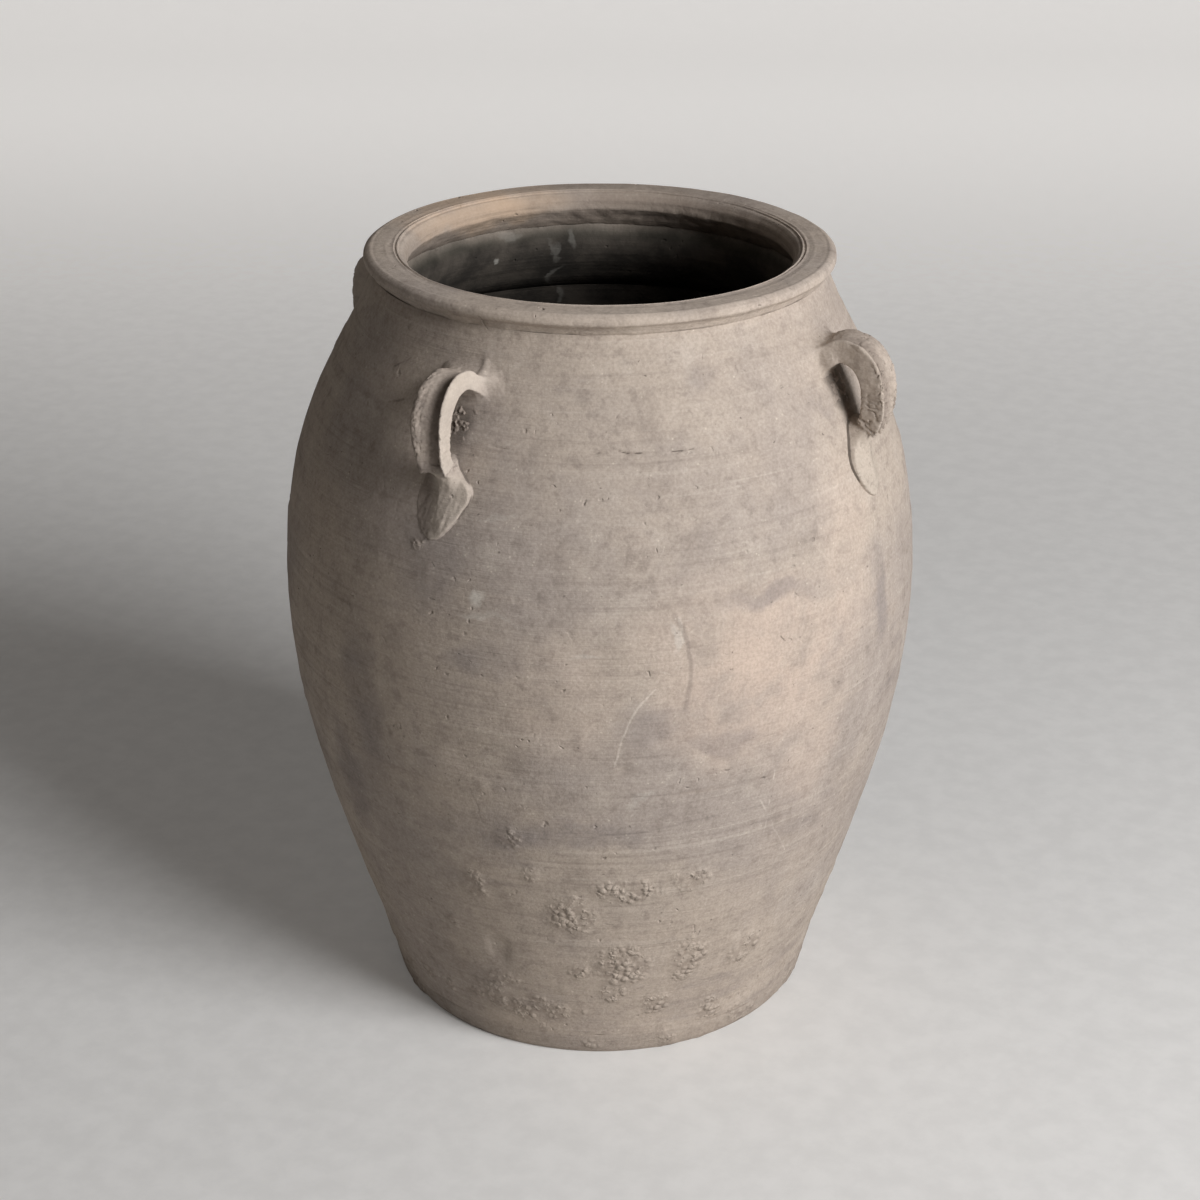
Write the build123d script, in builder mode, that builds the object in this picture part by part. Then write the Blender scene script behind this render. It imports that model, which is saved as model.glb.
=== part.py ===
# An olive jar of coarse unglazed clay. It is thrown in sections that are luted
# together, and four pulled strap handles are set through its shoulder.
# Lengths are in millimetres and angles in degrees. +Z is up, and the origin is
# the centre of the underside, on the surface that the jar stands on.
import math
import os

from build123d import *

os.makedirs("parts", exist_ok=True)

# The pot
jar_height = 380.0
foot_radius = 105.5
belly_radius = 153.5
belly_height = 213.0
neck_radius = 106.0
wall_thickness = 11.0
base_thickness = 11.0
foot_bevel = 1.5
cove_width = 7.0

# The collar, from the neck up to the flat top of the lip
collar_height = 10.0
rim_width = 20.5
lip_overhang = 4.5
lip_thickness = 7.0
lip_round = 3.5
lip_under_share = 0.78
bevel_width = 3.5
bevel_drop = 4.5
throat_length = 5.0

# The seam between the two thrown sections, below the rim's top
shoulder_seam_drop = 55.5

# The handles. A strap is pulled out of the shoulder, arches over and runs down
# to a kink, where the thumb pressed it on the wall as a leaf. A tang holds it
# through the shoulder and ends in a pad inside.
handle_root_drop = 33.5
handle_length = 63.5
handle_reach = 28.5
strap_width = 16.0
strap_depth = 12.0
channel_depth = 5.5
arch_radius = 13.5
arch_drop = 8.5
arch_root_angle = 158.0
root_width = 34.0
root_length = 20.0
root_thickness = 5.0
root_sink = 1.0
root_slope = 48.0
leaf_width = 29.0
leaf_length = 34.0
leaf_thickness = 6.0
leaf_slope = 38.0
thumb_radius = 10.0
tang_radius = 6.5
pad_radius = 9.5
pad_thickness = 4.5
pad_bevel = 2.5
pad_sides = 8

# Each handle's angle round the jar from +X, and its share of the full reach
handle_names = ["handle_right", "handle_front", "handle_left", "handle_back"]
handle_angles = [0, -90, 176, 94]
handle_reach_shares = [1.0, 1.0, 0.84, 0.9]

# The wall's outer curve is a chain of arcs, up and down from the belly. Each
# pair is where one arc meets the next. Below the belly it holds the share of
# the belly's height and of the swell, and above it of the rise and of the fall.
lower_wall_shares = [(0.75, 0.899), (0.5, 0.642), (0.286, 0.362), (0.125, 0.142)]
upper_wall_shares = [(0.338, 0.099), (0.629, 0.399), (0.822, 0.72), (0.931, 0.908)]

# The strap's section is a cut right edge, a hollow outer face that climbs to the
# rolled left ridge, and a rounded back. Its corners are shares of half the width
# and half the depth, and the channel's are set in by shares of its own depth.
edge_shares = [(0.9, -0.6), (1.0, -0.4), (1.0, 0.88), (0.92, 0.96)]
channel_shares = [(0.5, 0.66), (0.1, 0.96), (-0.25, 0.96)]
ridge_shares = [(-0.6, 0.68), (-0.72, 0.9), (-0.88, 0.84), (-1.0, 0.45), (-1.0, -0.05)]
back_shares = [(-0.84, -0.6), (-0.45, -0.92), (0.05, -1.0), (0.55, -0.86)]

# The outlines of the smeared root and of the leaf, as shares of half their
# width and half their length. Each is one side, and the other mirrors it.
root_side_shares = [(0.45, 1.0), (0.85, 0.6), (1.0, -0.1), (0.6, -1.0)]
leaf_side_shares = [(0.56, 1.0), (0.82, 0.5), (1.0, 0.0), (0.8, -0.6), (0.3, -1.0)]

# Where the strap meets the leaf, and how far it stands off the wall there
kink_share = 0.55
kink_off = 4.0

# How far the leaf's foot and its thumb mark stand off the wall at top and tip
leaf_top_off = 1.5
leaf_tip_off = -2.5
thumb_top_off = 4.5
thumb_tip_off = 1.5
thumb_side_share = 0.2

# Where along the wall's curve the collar's joint comes out inside, and how many
# straight sides stand for the outer curve, the inner curve, the lip and the arch
joint_share = 0.985
outer_sides = 16
inner_sides = 7
lip_sides = 3
arch_sides = 8

# How finely a height is sought along the wall's curve
search_steps = 40

# The pot's section is drawn between two handles, so that the line where the
# turned surfaces close on themselves stays clear of every handle
section_angle = 45.0
section_plane = Plane(
    origin=(0, 0, 0),
    x_dir=Vector(1, 0, 0).rotate(Axis.Z, section_angle),
    z_dir=Vector(0, -1, 0).rotate(Axis.Z, section_angle),
)

# Places that follow from the sizes
neck_height = jar_height - collar_height
lip_radius = neck_radius + lip_overhang
throat_radius = lip_radius - rim_width
bevel_foot_height = jar_height - bevel_drop
throat_foot_height = bevel_foot_height - throat_length
shoulder_seam_height = jar_height - shoulder_seam_drop
root_height = jar_height - handle_root_drop

swell = belly_radius - foot_radius
fall = belly_radius - neck_radius
neck_rise = neck_height - belly_height
belly_point = (belly_radius, belly_height)
neck_point = (neck_radius, neck_height)
lower_points = [
    (foot_radius + swell * swell_share, belly_height * height_share)
    for height_share, swell_share in lower_wall_shares
]
upper_points = [
    (belly_radius - fall * fall_share, belly_height + neck_rise * rise_share)
    for rise_share, fall_share in upper_wall_shares
]


def arc_chain(points, way):
    """Arcs from point to point. Each leaves along the end of the one before."""
    arcs = []
    for start, end in zip(points, points[1:]):
        arcs.append(TangentArc(start, end, tangent=way))
        way = arcs[-1] % 1
    return arcs


lower_arcs = arc_chain([belly_point, *lower_points, (foot_radius, 0)], (0, -1))
upper_arcs = arc_chain([belly_point, *upper_points, neck_point], (0, 1))
outer_arcs = [ThreePointArc(arc @ 1, arc @ 0.5, arc @ 0) for arc in reversed(lower_arcs)]
outer_arcs += upper_arcs
outer_curve = Wire(outer_arcs)


def inward(share):
    """The wall's inward normal at a share of its outer curve, as radius and height."""
    along = outer_curve % share
    return Vector(-along.Y, along.X)


def even_shares(sides):
    """The shares of a curve at which even sides of it start and end."""
    return [step / sides for step in range(sides + 1)]


# The turned faces are straight between these points, as if scraped with a rib
outer_points = [outer_curve @ share for share in even_shares(outer_sides)]
inner_points = [
    outer_curve @ share + inward(share) * wall_thickness
    for share in (joint_share * step for step in even_shares(inner_sides))
]
inner_foot = inner_points[0]
inner_neck = inner_points[-1]


def share_at(height):
    """The share of the outer curve at which the wall reaches a height."""
    low, high = 0, 1
    for _ in range(search_steps):
        middle = (low + high) / 2
        if (outer_curve @ middle).Y < height:
            low = middle
        else:
            high = middle
    return low


def standing_off(height, distance):
    """A point in the plane of +X and +Z, a distance outside the wall at a height."""
    return Vector((outer_curve @ share_at(height)).X + distance, 0, height)


def level_band(low, high):
    """A flat strip of the section's plane from one height to another."""
    reach = belly_radius + lip_radius
    with BuildSketch(section_plane) as band:
        with BuildLine():
            Polyline((0, low), (reach, low), (reach, high), (0, high), close=True)
        make_face()
    return band.sketch


def filled_section():
    """The section of the pot as if it were solid, from the axis to the outer face."""
    with BuildSketch(section_plane) as section:
        with BuildLine():
            Polyline(*outer_points, inner_neck, (0, inner_neck.Y), (0, 0), close=True)
        make_face()
    return section.sketch


def hollow_section():
    """The section of the space inside the pot, with the cove round its floor."""
    with BuildSketch(section_plane) as section:
        with BuildLine():
            Polyline(*inner_points, (0, inner_neck.Y), (0, inner_foot.Y), close=True)
        make_face()
        add(level_band(base_thickness, jar_height), mode=Mode.INTERSECT)
        floor_corner = section.vertices().group_by(Axis.Y)[0].sort_by(Axis.X)[-1]
        chamfer(floor_corner, cove_width)
    return section.sketch


# The root of a handle: a point on the wall and the way into the wall there
root_share = share_at(root_height)
root_point = Vector((outer_curve @ root_share).X, 0, root_height)
root_inward = Vector(inward(root_share).X, 0, inward(root_share).Y)


def tang_plane(angle, depth):
    """The plane across a tang at a depth below the wall's face, facing into the jar."""
    centre = root_point + root_inward * depth
    return Plane(
        origin=centre.rotate(Axis.Z, angle),
        x_dir=Vector(0, 1, 0).rotate(Axis.Z, angle),
        z_dir=root_inward.rotate(Axis.Z, angle),
    )


# The slab that the pot is thrown on, with its worn lower edge
with BuildPart() as base:
    with BuildSketch(section_plane):
        add(filled_section())
        add(level_band(0, base_thickness), mode=Mode.INTERSECT)
    revolve(axis=Axis.Z)
    chamfer(base.edges().filter_by(GeomType.CIRCLE).sort_by(Axis.Z)[0], foot_bevel)

# The lower section, from the slab over the belly to the shoulder's seam
with BuildPart() as body_wall:
    with BuildSketch(section_plane):
        add(filled_section())
        add(hollow_section(), mode=Mode.SUBTRACT)
        add(level_band(base_thickness, shoulder_seam_height), mode=Mode.INTERSECT)
    revolve(axis=Axis.Z)

# The upper section, up to the slanted joint of the collar, with a hole for
# the tang of each handle
with BuildPart() as shoulder_ring:
    with BuildSketch(section_plane):
        add(filled_section())
        add(hollow_section(), mode=Mode.SUBTRACT)
        add(level_band(shoulder_seam_height, jar_height), mode=Mode.INTERSECT)
    revolve(axis=Axis.Z)
    for angle in handle_angles:
        with BuildSketch(tang_plane(angle, -wall_thickness)):
            Circle(tang_radius)
        extrude(amount=wall_thickness * 3, mode=Mode.SUBTRACT)

# The collar: flat top, rolled nose, undercut down to the neck, and inside a
# bevel, the throat and a flare down to the joint
with BuildPart() as rim_collar:
    top_edge = (lip_radius - lip_round, jar_height)
    nose = (lip_radius, jar_height - lip_thickness / 2)
    underside = (lip_radius - lip_round * lip_under_share, jar_height - lip_thickness)
    lip_curve = ThreePointArc(top_edge, nose, underside, mode=Mode.PRIVATE)
    with BuildSketch(section_plane):
        with BuildLine():
            Polyline(
                *[lip_curve @ share for share in even_shares(lip_sides)],
                neck_point,
                inner_neck,
                (throat_radius, throat_foot_height),
                (throat_radius, bevel_foot_height),
                (throat_radius + bevel_width, jar_height),
                close=True,
            )
        make_face()
    revolve(axis=Axis.Z)


def outline_face(plane, corners):
    """A face on a plane, closed round its corners."""
    with BuildSketch(plane) as outline:
        with BuildLine():
            Polyline(*corners, close=True)
        make_face()
    return outline.sketch


def strap_face(plane):
    """The strap's section, on a plane that the strap runs straight through."""
    half_width, half_depth = strap_width / 2, strap_depth / 2
    corners = [(half_width * x, half_depth * y) for x, y in edge_shares]
    corners += [(half_width * x, half_depth - channel_depth * y) for x, y in channel_shares]
    corners += [(half_width * x, half_depth * y) for x, y in ridge_shares + back_shares]
    return outline_face(plane, corners)


def strap_route(reach_share):
    """The middle of a strap, from its root in the shoulder over the arch to the kink."""
    radius = arch_radius * reach_share
    centre = root_point + Vector(handle_reach * reach_share - radius, 0, -arch_drop)
    kink = standing_off(root_height - handle_length * kink_share, kink_off)
    to_kink = kink - centre
    lean = math.acos(radius / to_kink.length) - math.atan2(-to_kink.Z, to_kink.X)
    full_turn = math.radians(arch_root_angle) - lean
    turns = [lean + full_turn * share for share in even_shares(arch_sides)]
    arch = [centre + Vector(math.cos(turn), 0, math.sin(turn)) * radius for turn in turns]
    return [*reversed(arch), kink]


def two_sided(side_shares, width, length):
    """The corners of an outline from one of its sides, mirrored to the other."""
    right = [(width / 2 * x, length / 2 * y) for x, y in side_shares]
    return [(-x, y) for x, y in right] + right[::-1]


def facing_out(low, high):
    """The plane on the line between two points of a handle, facing away from the jar."""
    way_up = (high - low).normalized()
    return Plane(origin=(low + high) / 2, x_dir=(0, 1, 0), z_dir=Vector(way_up.Z, 0, -way_up.X))


def inner_pad():
    """The pad inside the shoulder, bevelled on the face that shows."""
    with BuildPart() as pad:
        with BuildSketch(tang_plane(0, wall_thickness / 2)):
            RegularPolygon(pad_radius, pad_sides)
        extrude(amount=wall_thickness / 2 + pad_thickness)
        pad_face = pad.faces().sort_by(Axis(root_point, root_inward))[-1]
        chamfer(pad_face.edges(), pad_bevel)
    return pad.part


def pulled_handle(name, angle, reach_share):
    """One handle: the arched strap with its leaf, the tang through the shoulder and its pad."""
    tip_height = root_height - handle_length
    route = strap_route(reach_share)
    with BuildPart() as straight:
        # The strap, mitred where its short straight runs meet
        with BuildLine() as route_line:
            Polyline(*route)
        strap_start = strap_face(Plane(origin=route[0], x_dir=(0, 1, 0), z_dir=route[1] - route[0]))
        sweep(strap_start, path=route_line.wire(), transition=Transition.RIGHT)
        # The smear round the root and the leaf, thinning to their edges
        root_foot = root_point + root_inward * root_sink
        root_out = Plane(origin=root_foot, x_dir=(0, 1, 0), z_dir=-root_inward)
        extrude(
            outline_face(root_out, two_sided(root_side_shares, root_width, root_length)),
            amount=root_thickness,
            taper=root_slope,
        )
        leaf_plane = facing_out(
            standing_off(tip_height, leaf_tip_off),
            standing_off(tip_height + leaf_length, leaf_top_off),
        )
        extrude(
            outline_face(leaf_plane, two_sided(leaf_side_shares, leaf_width, leaf_length)),
            amount=leaf_thickness,
            taper=leaf_slope,
        )
        # The mark that the thumb dragged down the leaf
        mark_top = standing_off(tip_height + leaf_length, thumb_top_off + thumb_radius)
        mark_tip = standing_off(tip_height, thumb_tip_off + thumb_radius)
        mark_way = mark_tip - mark_top
        with BuildSketch(Plane(origin=mark_top, x_dir=(0, 1, 0), z_dir=mark_way)):
            with Locations((-leaf_width / 2 * thumb_side_share, 0)):
                Circle(thumb_radius)
        extrude(amount=mark_way.length + leaf_length, mode=Mode.SUBTRACT)
        # The tang through the shoulder and the pad inside
        with BuildSketch(tang_plane(0, 0)):
            Circle(tang_radius)
        extrude(amount=wall_thickness + pad_thickness / 2)
        add(inner_pad())
    with BuildPart() as handle:
        add(straight.part, rotation=(0, 0, angle))
        add(body_wall.part, mode=Mode.SUBTRACT)
        add(shoulder_ring.part, mode=Mode.SUBTRACT)
    handle.part.label = name
    return handle


base.part.label = "base"
body_wall.part.label = "body_wall"
shoulder_ring.part.label = "shoulder_ring"
rim_collar.part.label = "rim_collar"
export_step(base.part, "parts/base.step")
export_step(body_wall.part, "parts/body_wall.step")
export_step(shoulder_ring.part, "parts/shoulder_ring.step")
export_step(rim_collar.part, "parts/rim_collar.step")

for handle_name, handle_angle, handle_reach_share in zip(
    handle_names, handle_angles, handle_reach_shares
):
    handle = pulled_handle(handle_name, handle_angle, handle_reach_share)
    export_step(handle.part, f"parts/{handle_name}.step")
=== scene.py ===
"""An olive jar of coarse unglazed clay, dressed over its CAD frame.

The turned pieces are ring meshes on the frame's own profile, with the marks of
throwing and firing. The pulled handles are shaped as distance fields and meshed.
Lengths are in metres. Places on the wall are named by their pixel in the
1200 x 1200 photograph and cast on to the wall through the fitted camera.
"""
import math

import bpy
import numpy as np
from mathutils import Euler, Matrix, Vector


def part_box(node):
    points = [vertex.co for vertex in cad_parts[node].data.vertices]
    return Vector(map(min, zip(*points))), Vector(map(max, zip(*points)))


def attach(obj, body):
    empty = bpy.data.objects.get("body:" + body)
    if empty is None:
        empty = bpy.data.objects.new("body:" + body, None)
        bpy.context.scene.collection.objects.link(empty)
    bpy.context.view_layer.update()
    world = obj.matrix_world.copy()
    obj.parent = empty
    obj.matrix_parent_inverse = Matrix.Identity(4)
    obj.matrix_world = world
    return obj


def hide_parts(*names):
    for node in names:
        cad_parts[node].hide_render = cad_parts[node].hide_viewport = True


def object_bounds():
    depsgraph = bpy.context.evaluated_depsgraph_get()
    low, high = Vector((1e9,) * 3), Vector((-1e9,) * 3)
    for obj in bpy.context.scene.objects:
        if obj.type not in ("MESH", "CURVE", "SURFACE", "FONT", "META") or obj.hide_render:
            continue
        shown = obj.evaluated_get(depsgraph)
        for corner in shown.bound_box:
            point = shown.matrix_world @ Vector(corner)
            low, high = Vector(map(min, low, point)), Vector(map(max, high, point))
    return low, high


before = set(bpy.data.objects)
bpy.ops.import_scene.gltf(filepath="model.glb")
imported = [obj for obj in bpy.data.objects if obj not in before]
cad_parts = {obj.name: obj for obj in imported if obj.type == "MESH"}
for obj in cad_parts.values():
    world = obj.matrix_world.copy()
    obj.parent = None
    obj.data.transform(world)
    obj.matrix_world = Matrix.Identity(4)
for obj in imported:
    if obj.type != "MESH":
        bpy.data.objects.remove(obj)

cad_low, cad_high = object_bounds()
MM = 0.001

# The camera

PHOTO_SIZE = 1200
FOCAL_PIXELS = 2415.2
CAMERA_PLACE = Vector((0.5457, -0.9452, 0.6989))
CAMERA_TURN = Euler((math.radians(65.29), 0, math.radians(30.0)))
SENSOR = 36.0

camera_data = bpy.data.cameras.new("camera")
camera_data.sensor_width = SENSOR
camera_data.lens = SENSOR * FOCAL_PIXELS / PHOTO_SIZE
camera = bpy.data.objects.new("camera", camera_data)
camera.location = CAMERA_PLACE
camera.rotation_euler = CAMERA_TURN
bpy.context.scene.collection.objects.link(camera)
bpy.context.scene.camera = camera


# The profile of the frame

# The profile is read in a sector without a handle, above the foot's bevel, from faces
# that turn at least this much to the side asked for
CLEAR_ANGLE = math.radians(45)
CLEAR_SPREAD = math.radians(24)
LEAST_FACING = 0.2
BEVEL = 1.2 * MM
STRAIGHT = 0.06 * MM


def is_clear(place):
    """Whether a place lies in the sector that is read."""
    return abs(math.atan2(place.y, place.x) - CLEAR_ANGLE) < CLEAR_SPREAD


def node_points(names, side):
    """Heights and radii of turned nodes' outer (side 1) or inner (side -1) faces."""
    found = {}
    for name in names:
        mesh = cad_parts[name].data
        for polygon in mesh.polygons:
            centre, normal = polygon.center, polygon.normal
            facing = side * (centre.xy.normalized() @ normal.xy)
            if not is_clear(centre) or facing < LEAST_FACING:
                continue
            for index in polygon.vertices:
                place = mesh.vertices[index].co
                found[round(place.z, 5)] = place.xy.length
    heights = np.array(sorted(found))
    return heights, np.array([found[height] for height in heights])


def bends_only(heights, radii):
    """Leaves out the points that lie on the straight line between their neighbours."""
    keep = [0]
    for index in range(1, len(heights) - 1):
        last = keep[-1]
        share = (heights[index] - heights[last]) / (heights[index + 1] - heights[last])
        line = radii[last] + (radii[index + 1] - radii[last]) * share
        if abs(line - radii[index]) > STRAIGHT:
            keep.append(index)
    keep.append(len(heights) - 1)
    return heights[keep], radii[keep]


def smooth_curve(heights, radii):
    """A smooth curve through points, as a function of height, without the foot's bevel."""
    kept = heights > BEVEL
    heights, radii = heights[kept], radii[kept]
    slopes = np.gradient(radii, heights)

    def at(height):
        height = np.asarray(height, float)
        index = np.clip(np.searchsorted(heights, height) - 1, 0, len(heights) - 2)
        step = heights[index + 1] - heights[index]
        share = np.clip((height - heights[index]) / step, 0, 1)
        rise = share * share * (3 - 2 * share)
        start_pull = share * (1 - share) ** 2 * step * slopes[index]
        end_pull = share * share * (share - 1) * step * slopes[index + 1]
        return radii[index] * (1 - rise) + radii[index + 1] * rise + start_pull + end_pull

    return at


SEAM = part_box("shoulder_ring")[0].z
NECK = 0.370
RIM_LEVEL = 0.3765
JOINT_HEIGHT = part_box("rim_collar")[0].z
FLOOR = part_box("base")[1].z
TOP = cad_high.z
BOX_RADIUS = (cad_high.x - cad_low.x) / 2 - 0.12 * MM
# Where a pixel's ray is searched: from the camera for the wall, and on from the mouth
RAY_STEP = 0.5 * MM
WALL_NEAR, WALL_FAR, MOUTH_DEPTH = 0.7, 1.6, 0.5

outer = smooth_curve(*bends_only(*node_points(["base", "body_wall", "shoulder_ring"], 1)))
inner = smooth_curve(*bends_only(*node_points(["body_wall", "shoulder_ring"], -1)))


def outer_slope(height):
    """How fast the outer face's radius grows with height."""
    return (outer(height + MM) - outer(height - MM)) / (2 * MM)


def pixel_way(pixel):
    """The way from the camera towards what a pixel of the photograph shows."""
    x, y = pixel
    half = PHOTO_SIZE / 2
    way = Vector(((x - half) / FOCAL_PIXELS, (half - y) / FOCAL_PIXELS, -1))
    return CAMERA_TURN.to_matrix() @ way


def on_wall(pixel):
    """The point of the wall's outer face that a pixel shows."""
    way = pixel_way(pixel).normalized()
    for step in np.arange(WALL_NEAR, WALL_FAR, RAY_STEP):
        point = CAMERA_PLACE + way * step
        if 0 < point.z < NECK and point.xy.length < outer(point.z):
            return point
    raise ValueError(f"pixel {pixel} is off the wall")


def on_level(pixel, height):
    """The point that a pixel shows at a height."""
    way = pixel_way(pixel)
    return CAMERA_PLACE + way * ((height - CAMERA_PLACE.z) / way.z)


def on_inside(pixel):
    """The point of the wall's inner face that a pixel shows through the mouth."""
    place = on_level(pixel, JOINT_HEIGHT)
    way = (place - CAMERA_PLACE).normalized()
    for step in np.arange(0, MOUTH_DEPTH, RAY_STEP):
        point = place + way * step
        if point.xy.length > inner(point.z):
            return point
    raise ValueError(f"pixel {pixel} is off the inner wall")


def on_rim(pixel):
    """The point of the rim that a pixel shows."""
    return on_level(pixel, RIM_LEVEL)


# Noise and relief

# Large numbers that scramble a grid corner's place and the seed into one value
PLACE_PRIMES = (73856093, 19349663, 83492791)
SEED_PRIME = 15485863
FIRST_MIX, SECOND_MIX = 1274126177, 40503
HALF_RANGE = 32767.5


def noise(points, size, seed, octaves=1):
    """Smooth noise between about -1 and 1, with features of a size, fixed by its seed."""
    total, weight = np.zeros(len(points)), 0.0
    for octave in range(octaves):
        placed = points / size * 2**octave + 31.7 * (seed + 1) + 7.1 * octave
        cell = np.floor(placed).astype(np.int64)
        part = placed - cell
        part = part * part * (3 - 2 * part)
        value = np.zeros(len(points))
        for corner in np.ndindex(2, 2, 2):
            x, y, z = ((cell + np.array(corner)) * PLACE_PRIMES).T
            mixed = x ^ y ^ z ^ seed * SEED_PRIME
            mixed = (mixed ^ (mixed >> 13)) * FIRST_MIX & 0x7FFFFFFF
            mixed = (mixed ^ (mixed >> 15)) * SECOND_MIX & 0xFFFF
            share = np.prod(np.where(corner, part, 1 - part), axis=1)
            value += share * (mixed / HALF_RANGE - 1)
        total += value * 0.5**octave
        weight += 0.5**octave
    return total / weight


def ease(value, low, high):
    """0 below low, 1 above high, smooth between. It falls where low is above high."""
    share = np.clip((value - low) / (high - low), 0, 1)
    return share * share * (3 - 2 * share)


def about(points, pixel, width, height, rough=0.35, seed=3):
    """A soft uneven patch of the wall round a pixel, sized in millimetres, from 0 to 1."""
    centre = np.array(on_wall(pixel))
    width, height = width * MM, height * MM
    angle = math.atan2(centre[1], centre[0])
    along = -points[:, 0] * math.sin(angle) + points[:, 1] * math.cos(angle)
    facing = points[:, 0] * math.cos(angle) + points[:, 1] * math.sin(angle)
    reach = np.hypot(along / width, (points[:, 2] - centre[2]) / height)
    reach += rough * noise(points, min(width, height) * 0.8, seed, 2)
    return ease(reach, 1.25, 0.6) * (facing > 0)


# Lumps of crusted clay: pixel, half width, half height and rise in millimetres
CRUSTS = [
    ((572, 914), 11, 13, 1.1), ((626, 893), 17, 7, 1.0), ((692, 880), 8, 7, 0.9),
    ((622, 967), 13, 13, 1.1), ((579, 973), 5, 5, 0.8), ((690, 958), 10, 14, 1.0),
    ((746, 947), 9, 9, 1.0), ((473, 882), 7, 10, 0.8), ((453, 921), 4, 5, 0.7),
    ((473, 991), 6, 4, 0.8), ((531, 874), 4, 4, 0.8), ((508, 838), 7, 5, 0.7),
    ((655, 1003), 9, 6, 0.9), ((712, 1010), 8, 5, 0.8), ((540, 1005), 8, 5, 0.8),
    ((417, 543), 3.6, 2.0, 0.9),
]
# Pits and dents: pixel, half width, half height and depth in millimetres
DENTS = [
    ((625, 772), 3, 2.4, 0.9), ((660, 742), 3, 2.2, 0.8), ((498, 948), 6, 11, 0.9),
    ((590, 660), 14, 9, 0.5), ((720, 790), 20, 10, 0.5), ((480, 760), 16, 12, 0.5),
    ((800, 720), 10, 16, 0.4), ((560, 560), 20, 8, 0.4),
]
# Where the seam's crack is open in the photograph: pixel, half width in millimetres
SEAM_CRACKS = [((509, 447), 11), ((650, 451), 24)]
SEAM_DEPTH, FOOT_LINE_DEPTH = 0.6 * MM, 0.45 * MM
# How high up the wall noise makes crusts, and the size of their grains
CRUST_TOP, NODULE = 0.105, 3.2 * MM


def throwing_rings(points):
    """The shallow rings that the potter's fingers left, uneven round the pot."""
    height = points[:, 2] + 1.6 * MM * noise(points, 0.09, 11)
    line = height[:, None] * np.array([0, 0, 1])
    broad = noise(line, 0.011, 21) * 0.30 + noise(line, 0.0045, 22) * 0.16
    return broad * (0.65 + 0.35 * noise(points, 0.06, 23)) * MM


def seam_groove(points):
    """How deep the broken crack at the shoulder's seam is, from 0 to 1."""
    height = points[:, 2] - SEAM - 1.5 * MM * noise(points, 0.008, 31, 2)
    unseen = points @ np.array(CAMERA_PLACE) < 0
    open_share = ease(noise(points, 0.020, 32, 2), 0.25, 0.5) * unseen
    for pixel, width in SEAM_CRACKS:
        open_share = np.maximum(open_share, about(points, pixel, width, 9, 0.2))
    dashes = ease(noise(points, NODULE, 33), -0.15, 0.15)
    return ease(np.abs(height), 0.75 * MM, 0.2 * MM) * open_share * dashes


def foot_line(points):
    """How deep the line at the top of the slab is, from 0 to 1."""
    height = points[:, 2] - FLOOR - 0.6 * MM * noise(points, 0.018, 41, 2)
    open_share = ease(noise(points, 0.025, 42, 2), -0.15, 0.3)
    return ease(np.abs(height), 1.1 * MM, 0.25 * MM) * (0.2 + 0.8 * open_share)


def crusts_all_round(points):
    """Where noise crusts the lower wall on every side, from 0 to 1."""
    low = ease(points[:, 2], CRUST_TOP, 0.02)
    return ease(noise(points, 0.017, 51, 2) + 0.25 * low, 0.42, 0.62) * low


def crust_share(points):
    """Where the wall is crusted, from 0 to 1: the seen lumps, and the same kind all round."""
    share = np.zeros(len(points))
    for pixel, width, height, _ in CRUSTS:
        share = np.maximum(share, about(points, pixel, width, height))
    return np.maximum(share, crusts_all_round(points) * 0.9)


def wall_relief(points):
    """How far the wall's outer face stands out from the frame's profile."""
    out = throwing_rings(points)
    out += 0.45 * MM * noise(points, 0.11, 61) + 0.22 * MM * noise(points, 0.028, 62, 2)
    bumpy = 0.55 + 0.45 * noise(points, NODULE, 63, 2)
    for pixel, width, height, rise in CRUSTS:
        out += about(points, pixel, width, height) * rise * bumpy * MM
    out += crusts_all_round(points) * (0.5 + 0.5 * noise(points, NODULE, 64, 2)) * 0.9 * MM
    for pixel, width, height, depth in DENTS:
        out -= about(points, pixel, width, height, 0.2, 5) * depth * MM
    out += ease(noise(points, 0.009, 65), 0.62, 0.85) * 0.35 * MM
    out -= seam_groove(points) * SEAM_DEPTH + foot_line(points) * FOOT_LINE_DEPTH
    return out - 0.35 * MM


# The turned pieces

COLUMNS, COLLAR_COLUMNS = 448, 512
SHARP_ANGLE = math.radians(50)
# How far apart rows are: outside, at the slab's edge, inside, and near a joint
WALL_ROWS, EDGE_ROWS, INNER_ROWS, JOINT_ROWS = 2.1 * MM, 0.9 * MM, 0.011, 0.5 * MM
JOINT_REACH = 3 * MM
# The radii of the double groove turned in the rim's flat top
RIM_GROOVES = (0.0935, 0.0955)


def even_heights(low, high, step, close_to):
    """Heights from low to high, closer together near some of them."""
    heights = [low]
    while heights[-1] < high:
        near = any(abs(heights[-1] - place) < JOINT_REACH for place in close_to)
        heights.append(heights[-1] + (JOINT_ROWS if near else step))
    heights[-1] = high
    return np.array(heights)


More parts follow.
